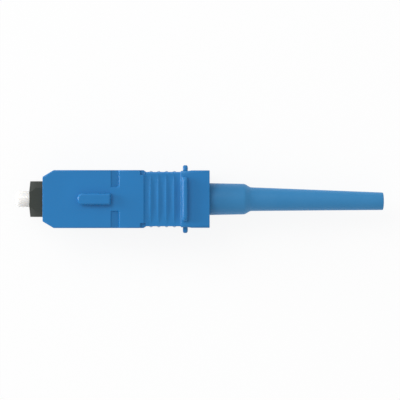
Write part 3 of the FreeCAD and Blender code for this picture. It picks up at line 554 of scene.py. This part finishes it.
SPRING_STEEL = WorkedMetal("spring_steel_drawn", (0.62, 0.62, 0.62), (0.50, 0.49, 0.47), 0.22)
CRIMP_BRASS = WorkedMetal("crimp_brass_turned", (0.80, 0.60, 0.28), (0.66, 0.46, 0.20), 0.24)
FIBRE_GLASS = DrawnGlass("fibre_glass_clear", (0.95, 0.97, 1.0), (0.85, 0.90, 0.96))


def dress(node: str, finish: Finish) -> None:
    """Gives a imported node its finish.

    Args:
        node: the node's name.
        finish: the finish, which builds one material.
    """
    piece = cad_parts[node]
    material = finish.material()
    for holder in piece.material_slots:
        holder.material = material
    LOG.info("%s wears %s", node, material.name)


# ---- Mesh making ----

def linked_piece(name: str, made: bmesh.types.BMesh) -> bpy.types.Object:
    """Turns a finished mesh into an object of the scene.

    Args:
        name: the new piece's name.
        made: its mesh, which is freed.

    Returns:
        The new object.
    """
    mesh = bpy.data.meshes.new(name)
    made.to_mesh(mesh)
    made.free()
    piece = bpy.data.objects.new(name, mesh)
    bpy.context.scene.collection.objects.link(piece)
    return piece


def turned_mesh(name: str, outline: Outline, sides: int, sharp_degrees: float = 30.0) -> bpy.types.Object:
    """Turns a closed outline about the optical axis.

    Args:
        name: the new piece's name.
        outline: (x, radius) points round the section, in metres.
        sides: how many steps the turn has.
        sharp_degrees: edges that bend more than this stay sharp.

    Returns:
        The new object, linked to the scene.
    """
    made = bmesh.new()
    rings = []
    for step in range(sides):
        angle = 2 * math.pi * step / sides
        rings.append([made.verts.new((x, r * math.cos(angle), r * math.sin(angle))) for x, r in outline])
    for step in range(sides):
        near = rings[step]
        far = rings[(step + 1) % sides]
        for index in range(len(outline)):
            after = (index + 1) % len(outline)
            made.faces.new((near[index], far[index], far[after], near[after]))
    bmesh.ops.recalc_face_normals(made, faces=made.faces)
    for face in made.faces:
        face.smooth = True
    for edge in made.edges:
        edge.smooth = edge.calc_face_angle(0.0) < math.radians(sharp_degrees)
    return linked_piece(name, made)


def eased(start: tuple[float, float], end: tuple[float, float], steps: int) -> Outline:
    """Points on an S-shaped line that leaves and arrives level.

    Args:
        start: the first point, which is left out of the result.
        end: the last point, which is in the result.
        steps: how many points to give.

    Returns:
        The (x, radius) points.
    """
    points = []
    for step in range(1, steps + 1):
        share = step / steps
        rise = share * share * (3 - 2 * share)
        points.append((start[0] + (end[0] - start[0]) * share, start[1] + (end[1] - start[1]) * rise))
    return points


def rounded_corner(corner: tuple[float, float], radius: float, start_degrees: float, steps: int) -> Outline:
    """Quarter-circle points that round a square corner of an outline.

    Args:
        corner: the centre of the quarter circle.
        radius: its radius.
        start_degrees: the direction of its first point, from the axis towards larger radii;
            the points run clockwise.
        steps: how many steps it has.

    Returns:
        The (x, radius) points.
    """
    points = []
    for step in range(steps + 1):
        angle = math.radians(start_degrees - 90 * step / steps)
        points.append((corner[0] + radius * math.cos(angle), corner[1] + radius * math.sin(angle)))
    return points


@dataclass(frozen=True)
class SoftEdges:
    """How a moulding's sharp edges are rounded, and the stretch whose run-out ridges stay as they are."""

    radius: float
    steps: int = 2
    weld: float = 0.004 * MM
    flat_degrees: float = 1.0
    sharp_degrees: float = 28.0
    kept_from: float = 0.0
    kept_to: float = 0.0

    def keeps(self, edge: bmesh.types.BMEdge) -> bool:
        """Whether an edge touches the stretch that stays as it is.

        Args:
            edge: the edge to test.

        Returns:
            True where the edge stays.
        """
        return any(self.kept_from < vertex.co.x < self.kept_to for vertex in edge.verts)

    def clean(self, made: bmesh.types.BMesh) -> None:
        """Joins the triangles that lie in one plane.

        Args:
            made: the mesh to clean.
        """
        bmesh.ops.remove_doubles(made, verts=made.verts, dist=self.weld)
        bmesh.ops.dissolve_degenerate(made, dist=self.weld / 4, edges=made.edges)
        free = [edge for edge in made.edges if not self.keeps(edge)]
        ends = list({vertex for edge in free for vertex in edge.verts
                     if not self.kept_from < vertex.co.x < self.kept_to})
        bmesh.ops.dissolve_limit(made, angle_limit=math.radians(self.flat_degrees), verts=ends, edges=free)

    def round_off(self, made: bmesh.types.BMesh) -> None:
        """Rounds every sharp edge outside the kept stretch.

        Args:
            made: the mesh to round.
        """
        limit = math.radians(self.sharp_degrees)
        sharp = [edge for edge in made.edges if edge.calc_face_angle(0.0) > limit and not self.keeps(edge)]
        bmesh.ops.bevel(made, geom=sharp, offset=self.radius, offset_type="OFFSET", segments=self.steps,
                        profile=0.5, affect="EDGES", clamp_overlap=False)


def packed_solid(node: str, weld: float) -> bmesh.types.BMesh:
    """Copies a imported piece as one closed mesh.

    Args:
        node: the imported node.
        weld: corners nearer than this become one.

    Returns:
        The mesh.
    """
    made = bmesh.new()
    made.from_mesh(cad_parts[node].data)
    bmesh.ops.remove_doubles(made, verts=made.verts, dist=weld)
    return made


def moulding(name: str, made: bmesh.types.BMesh) -> bpy.types.Object:
    """Turns a finished mesh into a smooth-shaded object.

    Args:
        name: the new piece's name.
        made: its mesh, which is freed.

    Returns:
        The new object, linked to the scene.
    """
    for face in made.faces:
        face.smooth = True
    piece = linked_piece(name, made)
    flatten_shading(piece)
    return piece


def flatten_shading(piece: bpy.types.Object) -> None:
    """Lets large flat faces shade flat right up to their rounded edges.

    Args:
        piece: the piece, whose mesh is replaced.
    """
    weighted = piece.modifiers.new("weighted", "WEIGHTED_NORMAL")
    weighted.mode = "FACE_AREA_WITH_ANGLE"
    weighted.weight = 100
    seen = piece.evaluated_get(bpy.context.evaluated_depsgraph_get())
    mesh = bpy.data.meshes.new_from_object(seen)
    piece.modifiers.clear()
    piece.data = mesh


class Join(Enum):
    """How one solid is combined with another."""

    ADD = "UNION"
    CUT = "DIFFERENCE"


def combined(base: bmesh.types.BMesh, tool: bmesh.types.BMesh, join: Join) -> bmesh.types.BMesh:
    """Combines two closed meshes.

    Args:
        base: the solid that is changed, which is freed.
        tool: the solid that is added or cut away, which is freed.
        join: how they are combined.

    Returns:
        The new mesh.
    """
    objects = []
    for made in (base, tool):
        objects.append(linked_piece("solid", made))
    change = objects[0].modifiers.new("join", "BOOLEAN")
    change.object = objects[1]
    change.operation = join.value
    change.solver = "EXACT"
    mesh = bpy.data.meshes.new_from_object(objects[0].evaluated_get(bpy.context.evaluated_depsgraph_get()))
    result = bmesh.new()
    result.from_mesh(mesh)
    bpy.data.meshes.remove(mesh)
    for item in objects:
        bpy.data.objects.remove(item)
    return result


def stand_for(piece: bpy.types.Object, node: str, body: Body, finish: Finish) -> None:
    """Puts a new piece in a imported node's place.

    Args:
        piece: the new piece.
        node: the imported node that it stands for.
        body: the body that carries it.
        finish: the finish that it wears.
    """
    piece.data.materials.clear()
    piece.data.materials.append(finish.material())
    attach(piece, body.value)
    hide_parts(node)
    LOG.info("%s stands for %s with %d faces", piece.name, node, len(piece.data.polygons))


# ---- Sub-assemblies ----

@dataclass(frozen=True)
class PullTabs:
    """The finger flange: a rounded tab on each of the grip's four faces."""

    start: float = 21.74 * MM
    thickness: float = 0.75 * MM
    reach: float = 0.92 * MM
    root: float = 0.25 * MM
    end_radius: float = 0.62 * MM
    rim: float = 0.27 * MM
    rim_steps: int = 5
    end_steps: int = 8
    top_surface: float = 3.665 * MM
    top_length: float = 6.86 * MM
    side_surface: float = 4.38 * MM
    side_length: float = 5.40 * MM
    skin: float = 0.001 * MM
    spare: float = 0.1 * MM

    def outline(self, surface: float, length: float, inset: float) -> Outline:
        """Outline of one slice of a tab, seen along the axis.

        Args:
            surface: how far the face is from the axis.
            length: the tab's length along the face.
            inset: how far the slice stands back from the tab's full outline.

        Returns:
            The points, as places along the face and distances from the axis.
        """
        half = length / 2 - inset
        crest = surface + self.reach - inset
        radius = self.end_radius - inset
        points = [(half, surface - self.root)]
        for step in range(self.end_steps + 1):
            angle = math.pi / 2 * step / self.end_steps
            points.append((half - radius * (1 - math.cos(angle)), crest - radius * (1 - math.sin(angle))))
        return points + [(-along, height) for along, height in reversed(points)]

    def slices(self) -> list[tuple[float, float]]:
        """Where the slices are that round both rims.

        Returns:
            Each slice's distance behind the front face, and its inset.
        """
        front = []
        for step in range(self.rim_steps + 1):
            angle = math.pi / 2 * step / self.rim_steps
            front.append((self.rim * (1 - math.cos(angle)), self.rim * (1 - math.sin(angle))))
        return front + [(self.thickness - back, inset) for back, inset in reversed(front)]

    def add_tab(self, made: bmesh.types.BMesh, front: float, quarter: int) -> None:
        """Adds one rounded tab.

        Args:
            made: the mesh to add to.
            front: where the tab's front face is.
            quarter: which face carries it, in quarter turns from the key side.
        """
        upright = quarter % 2 == 0
        surface = self.top_surface if upright else self.side_surface
        length = self.top_length if upright else self.side_length
        turn = Matrix.Rotation(math.pi / 2 * quarter, 3, "X")
        loops = [[made.verts.new(turn @ Vector((front + back, along, height)))
                  for along, height in self.outline(surface, length, inset)] for back, inset in self.slices()]
        made.faces.new(loops[0])
        made.faces.new(reversed(loops[-1]))
        count = len(loops[0])
        for near, far in zip(loops, loops[1:]):
            for index in range(count):
                after = (index + 1) % count
                made.faces.new((near[index], far[index], far[after], near[after]))

    def add_clearing(self, made: bmesh.types.BMesh, front: float, quarter: int) -> None:
        """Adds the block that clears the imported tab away.

        Args:
            made: the mesh to add to.
            front: where the tab's front face is.
            quarter: which face carries it, in quarter turns from the key side.
        """
        upright = quarter % 2 == 0
        surface = (self.top_surface if upright else self.side_surface) + self.skin
        half = (self.top_length if upright else self.side_length) / 2 + self.spare
        low = Vector((front - self.skin, -half, surface))
        high = Vector((front + self.thickness + self.skin, half, surface + self.reach + self.spare))
        turn = Matrix.Rotation(math.pi / 2 * quarter, 4, "X")
        middle = Matrix.Translation((low + high) / 2) @ Matrix.Diagonal((*(high - low), 1.0))
        bmesh.ops.create_cube(made, size=1.0, matrix=turn @ middle)

    def cleared(self, made: bmesh.types.BMesh) -> bmesh.types.BMesh:
        """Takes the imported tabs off.

        Args:
            made: the grip's mesh, which is freed.

        Returns:
            The new mesh.
        """
        clearing = bmesh.new()
        for quarter in range(4):
            self.add_clearing(clearing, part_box("grip")[0].x + self.start, quarter)
        return combined(made, clearing, Join.CUT)

    def added(self, made: bmesh.types.BMesh) -> bmesh.types.BMesh:
        """Puts the rounded tabs on.

        Args:
            made: the grip's mesh, which is freed.

        Returns:
            The new mesh.
        """
        tabs = bmesh.new()
        for quarter in range(4):
            self.add_tab(tabs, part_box("grip")[0].x + self.start, quarter)
        bmesh.ops.recalc_face_normals(tabs, faces=tabs.faces)
        return combined(made, tabs, Join.ADD)


@dataclass
class Housings:
    """The grip and the plug frame, rounded at their moulded edges apart from those of the ribs.

    The grip's finger flange gets rounded tabs, and its clip pockets get ramped floors.
    """

    tabs: PullTabs = PullTabs()
    grip_edge: float = 0.085 * MM
    frame_edge: float = 0.06 * MM
    half_height: float = 3.695 * MM
    pocket_start: float = 10.62 * MM
    pocket_length: float = 1.32 * MM
    pocket_depth: float = 0.45 * MM
    pocket_front_depth: float = 0.21 * MM
    ribs_start: float = 15.99 * MM
    ribs_end: float = 21.37 * MM
    near: float = 0.01 * MM
    end_slack: float = 0.01

    def ramp_pockets(self, made: bmesh.types.BMesh) -> None:
        """Slopes each clip pocket's floor down towards the rear.

        Args:
            made: the grip's mesh.
        """
        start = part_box("grip")[0].x + self.pocket_start
        floor = self.half_height - self.pocket_depth
        for vertex in made.verts:
            share = (vertex.co.x - start) / self.pocket_length
            on_floor = abs(abs(vertex.co.z) - floor) < self.near
            if on_floor and -self.end_slack < share < 1 + self.end_slack:
                depth = self.pocket_front_depth + (self.pocket_depth - self.pocket_front_depth) * share
                vertex.co.z = math.copysign(self.half_height - depth, vertex.co.z)

    def build_grip(self) -> None:
        """Makes the grip."""
        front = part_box("grip")[0].x
        edges = SoftEdges(self.grip_edge, kept_from=front + self.ribs_start, kept_to=front + self.ribs_end)
        made = self.tabs.cleared(packed_solid("grip", edges.weld))
        edges.clean(made)
        self.ramp_pockets(made)
        edges.round_off(made)
        grip = moulding("grip_moulding", self.tabs.added(made))
        stand_for(grip, "grip", Body.GRIP, GRIP_BLUE)

    def build_plug_frame(self) -> None:
        """Makes the plug frame."""
        edges = SoftEdges(self.frame_edge)
        made = packed_solid("plug_frame", edges.weld)
        edges.clean(made)
        edges.round_off(made)
        stand_for(moulding("plug_frame_moulding", made), "plug_frame", Body.FRAME, FRAME_BLACK)

    def build(self) -> None:
        """Makes both housings."""
        self.build_grip()
        self.build_plug_frame()


@dataclass
class Ferrule:
    """The ground ceramic ferrule: domed end, chamfer, barrel with one groove, and rear fibre funnel.

    Narrow lips, a fifth of the chamfer wide, ease the chamfer into the face and the barrel.
    """

    dome_radius: float = 20.0 * MM
    face_radius: float = 0.88 * MM
    chamfer: float = 0.45 * MM
    bore: float = 0.063 * MM
    groove_start: float = 7.0 * MM
    groove_length: float = 0.62 * MM
    groove_depth: float = 0.17 * MM
    funnel_radius: float = 0.4 * MM
    funnel_length: float = 1.2 * MM
    dome_steps: int = 6
    sides: int = 96

    def outline(self) -> Outline:
        """Section of the ferrule.

        Returns:
            The (x, radius) points, from the bore's mouth round the outside and back.
        """
        front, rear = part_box("ferrule")
        radius = rear.z
        points = []
        for step in range(self.dome_steps + 1):
            r = self.bore + (self.face_radius - self.bore) * step / self.dome_steps
            points.append((front.x + self.dome_radius - math.sqrt(self.dome_radius ** 2 - r * r), r))
        face = points[-1]
        lip = self.chamfer / 5
        groove_end = self.groove_start + self.groove_length
        return points + [
            (face[0] + lip / 2, face[1] + lip * 0.8),
            (self.chamfer - lip, radius - lip * 0.8),
            (self.chamfer + lip / 3, radius - lip * 0.2),
            (self.chamfer + lip * 1.5, radius),
            (self.groove_start, radius),
            (self.groove_start, radius - self.groove_depth),
            (groove_end, radius - self.groove_depth),
            (groove_end, radius),
            (rear.x, radius),
            (rear.x, self.funnel_radius),
            (rear.x - self.funnel_length, self.bore)]

    def build(self) -> None:
        """Makes the ferrule."""
        piece = turned_mesh("ferrule_ground", self.outline(), self.sides)
        stand_for(piece, "ferrule", Body.CARRIER, ZIRCONIA)


@dataclass
class FibreTrain:
    """The inner pieces, which keep their packed form: fibre, holder, splice, cam, spring and tubes."""

    finishes: dict[str, Finish] = field(default_factory=lambda: {
        "fibre_stub": FIBRE_GLASS, "ferrule_holder": HOLDER_WHITE, "splice_base": SPLICE_NATURAL,
        "splice_cover": SPLICE_NATURAL, "cam_sleeve": CAM_BLACK, "spring": SPRING_STEEL,
        "spring_retainer": FRAME_BLACK, "lead_in_tube": LEAD_IN_WHITE, "crimp_tube": CRIMP_BRASS})

    def build(self) -> None:
        """Dresses every piece of the train."""
        for node, finish in self.finishes.items():
            dress(node, finish)


@dataclass
class Boot:
    """The soft boot, turned smooth, with its long tail hanging a little to one side."""

    collar_rear_radius: float = 2.40 * MM
    collar_length: float = 11.37 * MM
    shoulder_length: float = 1.26 * MM
    tail_radius: float = 1.86 * MM
    tip_radius: float = 1.38 * MM
    entry_radius: float = 0.55 * MM
    crimp_bore_radius: float = 1.25 * MM
    cam_bore_radius: float = 2.00 * MM
    barrel_radius: float = 2.20 * MM
    barrel_hold_length: float = 5.25 * MM
    cam_bore_length: float = 10.95 * MM
    crimp_bore_length: float = 17.2 * MM
    cone_length: float = 1.4 * MM
    lip: float = 0.14 * MM
    droop_degrees: float = 0.92
    sides: int = 96
    front_lip_steps: int = 4
    tip_lip_steps: int = 6
    shoulder_steps: int = 12
    tail_steps: int = 12

    def outer_line(self, front: Vector, tip: Vector) -> Outline:
        """Outer line from the collar's front to the tip.

        Args:
            front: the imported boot's lowest corner.
            tip: its highest corner.

        Returns:
            The (x, radius) points.
        """
        collar_end = front.x + self.collar_length
        tail_start = collar_end + self.shoulder_length
        front_lip = rounded_corner((front.x + self.lip, tip.z - self.lip), self.lip, 180.0,
                                   self.front_lip_steps)
        shoulder = eased((collar_end, self.collar_rear_radius), (tail_start, self.tail_radius),
                         self.shoulder_steps)
        tip_lip = rounded_corner((tip.x - self.lip, self.tip_radius - self.lip), self.lip, 90.0,
                                 self.tip_lip_steps)
        tail = []
        for step in range(1, self.tail_steps):
            share = step / self.tail_steps
            tail.append((tail_start + (tip.x - self.lip - tail_start) * share,
                         self.tail_radius + (self.tip_radius - self.tail_radius) * share))
        return front_lip + [(collar_end, self.collar_rear_radius)] + shoulder + tail + tip_lip

    def bore_line(self, front: Vector, tip: Vector) -> Outline:
        """Bore line from the tip back to the collar's front.

        Args:
            front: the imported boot's lowest corner.
            tip: its highest corner.

        Returns:
            The (x, radius) points.
        """
        mouth = self.lip / 2
        crimp_end = front.x + self.crimp_bore_length
        return [(tip.x, self.entry_radius + mouth),
                (tip.x - mouth, self.entry_radius),
                (crimp_end + self.cone_length, self.entry_radius),
                (crimp_end, self.crimp_bore_radius),
                (front.x + self.cam_bore_length, self.crimp_bore_radius),
                (front.x + self.cam_bore_length, self.cam_bore_radius),
                (front.x + self.barrel_hold_length, self.cam_bore_radius),
                (front.x + self.barrel_hold_length, self.barrel_radius),
                (front.x, self.barrel_radius)]

    def hang(self, piece: bpy.types.Object, start: float) -> None:
        """Leans the tail towards -Y, easing in over the shoulder.

        Args:
            piece: the boot.
            start: where along the axis the lean begins.
        """
        lean = math.tan(math.radians(self.droop_degrees))
        for vertex in piece.data.vertices:
            along = vertex.co.x - start
            if along > 0:
                eased_along = along * along / (along + self.shoulder_length)
                vertex.co.y -= eased_along * lean

    def build(self) -> None:
        """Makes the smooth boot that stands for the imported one."""
        front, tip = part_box("boot")
        outline = self.outer_line(front, tip) + self.bore_line(front, tip)
        piece = turned_mesh("boot_skin", outline, self.sides)
        self.hang(piece, front.x + self.collar_length)
        stand_for(piece, "boot", Body.FRAME, BOOT_BLUE)


# ---- Studio ----

@dataclass(frozen=True)
class SoftLamp:
    """A round area lamp, given by the share of full light that it throws on a level face."""

    name: str
    direction: tuple[float, float, float]
    size: float
    share: float
    distance: float = 0.6

    def place(self, target: Vector) -> None:
        """Makes the lamp, turned to a point.

        Args:
            target: the point that it lights.
        """
        direction = Vector(self.direction).normalized()
        data = bpy.data.lights.new(self.name, "AREA")
        data.shape = "DISK"
        data.size = self.size
        data.energy = self.share * (math.pi * self.distance) ** 2 / direction.z
        lamp = bpy.data.objects.new(self.name, data)
        lamp.location = target + direction * self.distance
        lamp.rotation_mode = "QUATERNION"
        lamp.rotation_quaternion = direction.to_track_quat("Z", "Y")
        bpy.context.scene.collection.objects.link(lamp)


@dataclass
class Studio:
    """Pale floor, even sky, two soft lamps from the left and a camera that looks straight down."""

    camera_height: float = 0.250
    view_width: float = 62.89 * MM
    view_centre: tuple[float, float] = (28.93 * MM, -0.14 * MM)
    sensor: float = 36.0
    sky_strength: float = 0.66
    main_lamp: SoftLamp = SoftLamp("main_lamp", (-0.42, 0.50, 0.76), 0.34, 0.20)
    low_lamp: SoftLamp = SoftLamp("low_lamp", (-0.97, 0.20, 0.22), 0.30, 0.14)
    floor_size: float = 2.0
    floor_colour: Colour = (0.93, 0.93, 0.93)
    floor_glow: float = 0.88

    def add_camera(self) -> None:
        """Makes the camera."""
        data = bpy.data.cameras.new("camera")
        data.sensor_width = self.sensor
        data.lens = self.sensor * self.camera_height / self.view_width
        data.clip_start = 0.01
        data.clip_end = 10.0
        camera = bpy.data.objects.new("camera", data)
        camera.location = (*self.view_centre, self.camera_height)
        bpy.context.scene.collection.objects.link(camera)
        bpy.context.scene.camera = camera

    @staticmethod
    def seen_directly(sheet: NodeSheet) -> bpy.types.NodeSocket:
        """Whether a ray comes from the camera, from a gloss or through glass.

        Args:
            sheet: the node sheet to add to.

        Returns:
            A socket that is 1 for such rays.
        """
        path = sheet.add("LightPath")
        either = sheet.math("MAXIMUM", path.outputs["Is Camera Ray"], path.outputs["Is Glossy Ray"])
        return sheet.math("MAXIMUM", either, path.outputs["Is Transmission Ray"])

    def add_sky(self) -> None:
        """Makes the even light from all round, which itself shows as white."""
        world = bpy.data.worlds.new("studio")
        world.use_nodes = True
        bpy.context.scene.world = world
        sheet = NodeSheet(world.node_tree)
        camera_ray = sheet.add("LightPath").outputs["Is Camera Ray"]
        to_white = sheet.math("MULTIPLY", camera_ray, 1 - self.sky_strength)
        strength = sheet.math("ADD", self.sky_strength, to_white)
        sky = sheet.add("Background", {"Color": (1.0, 1.0, 1.0, 1.0), "Strength": strength})
        sheet.add("OutputWorld", {"Surface": sky.outputs["Background"]})

    def add_floor(self, height: float) -> None:
        """Makes the floor, which keeps a soft shadow and shows as white.

        Args:
            height: the level of the floor.
        """
        half = self.floor_size / 2
        mesh = bpy.data.meshes.new("floor")
        corners = [(-half, -half, height), (half, -half, height), (half, half, height), (-half, half, height)]
        mesh.from_pydata(corners, [], [(0, 1, 2, 3)])
        floor = bpy.data.objects.new("floor", mesh)
        bpy.context.scene.collection.objects.link(floor)
        material = bpy.data.materials.new("floor_white")
        material.use_nodes = True
        sheet = NodeSheet(material.node_tree)
        diffuse = sheet.add("BsdfDiffuse", {"Color": opaque(self.floor_colour)})
        glow = sheet.add("Emission", {"Color": (1.0, 1.0, 1.0, 1.0), "Strength": 1.0})
        share = sheet.math("MULTIPLY", self.seen_directly(sheet), self.floor_glow)
        mixed = sheet.add("MixShader", {"Fac": share})
        sheet.feed(mixed.inputs[1], diffuse.outputs["BSDF"])
        sheet.feed(mixed.inputs[2], glow.outputs["Emission"])
        sheet.add("OutputMaterial", {"Surface": mixed.outputs["Shader"]})
        mesh.materials.append(material)

    def build(self) -> None:
        """Makes the whole studio round the object."""
        bpy.context.scene.view_settings.view_transform = "Standard"
        self.add_camera()
        for lamp in (self.main_lamp, self.low_lamp):
            lamp.place(Vector((*self.view_centre, 0.0)))
        self.add_sky()
        self.add_floor(CAD_BOX[0].z)
        LOG.info("studio ready")


def main() -> None:
    """Builds every sub-assembly and the studio."""
    logging.basicConfig(level=logging.INFO)
    Housings().build()
    Ferrule().build()
    FibreTrain().build()
    Boot().build()
    Studio().build()


if __name__ == "__main__":
    main()
